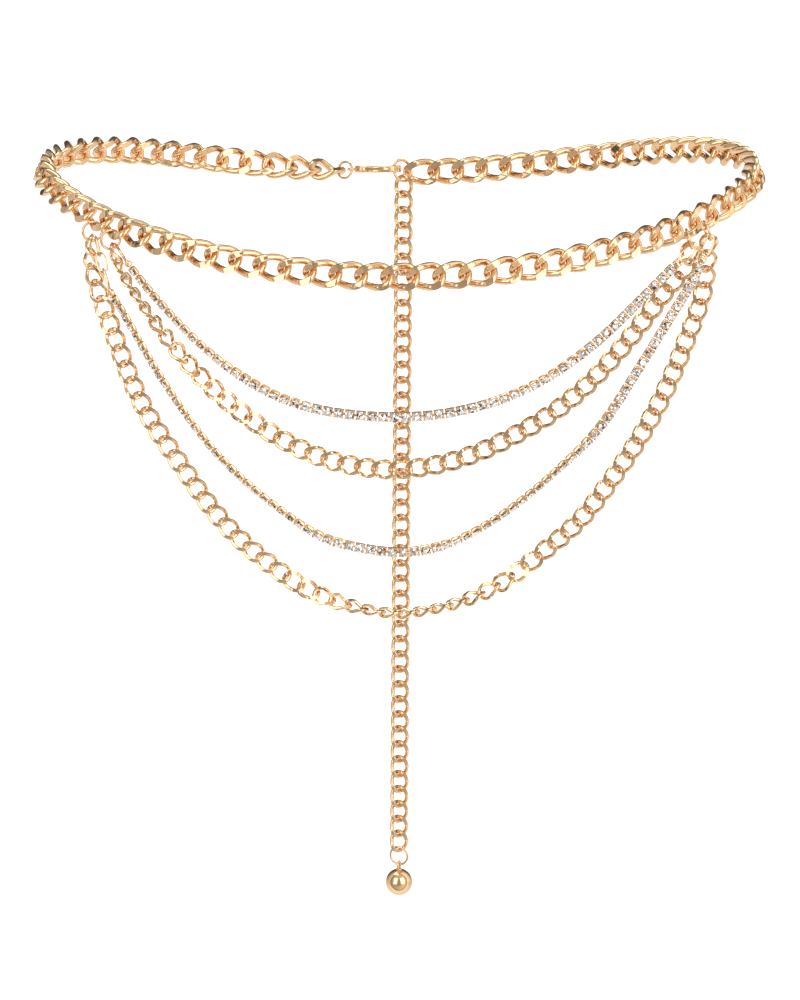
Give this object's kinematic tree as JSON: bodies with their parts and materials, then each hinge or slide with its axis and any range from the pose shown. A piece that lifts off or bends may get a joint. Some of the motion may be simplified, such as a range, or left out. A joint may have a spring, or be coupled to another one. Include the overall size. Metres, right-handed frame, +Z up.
{
  "type": "waist chain",
  "caption": "Waist chain of polished gold curb links with draped curb and cup chain swags, lobster clasp and long extender with a ball drop.",
  "frame": {"origin": "middle of the waist loop, at the belt's mean height", "axes": "+Z up, -Y to the front, +X to the right as seen from the front"},
  "size_m": [0.2663, 0.1809, 0.3127],
  "materials": {
    "gold_chain": "polished gold plating",
    "gold_findings": "polished gold plating",
    "cup_chain": "polished gold cups set with clear cut stones",
    "clear_stone": "clear, faceted and foiled"
  },
  "bodies": {
    "chain": {"belt_chain": "gold_chain", "upper_cup_swag": "cup_chain", "upper_curb_swag": "gold_chain", "lower_cup_swag": "cup_chain", "lower_curb_swag": "gold_chain", "swag_ring_left_inner": "gold_findings", "swag_ring_left_outer": "gold_findings", "swag_ring_right_inner": "gold_findings", "swag_ring_right_outer": "gold_findings", "clasp_ring": "gold_findings", "clasp_body": "gold_findings", "end_ring": "gold_findings", "extender_chain": "gold_chain", "ball_ring": "gold_findings", "ball_drop": "gold_findings"},
    "lever": {"clasp_lever": "gold_findings"}
  },
  "joints": [
    {"name": "clasp_lever_hinge", "type": "hinge", "parent": "chain", "child": "lever", "pos_m": [-0.01334, 0.0814, -0.00838], "axis": [-0.0089, 0.2424, 0.9701], "range_deg": [0, 22], "stiffness_Nm_per_rad": 0.002, "springref_deg": -17.19}
  ]
}
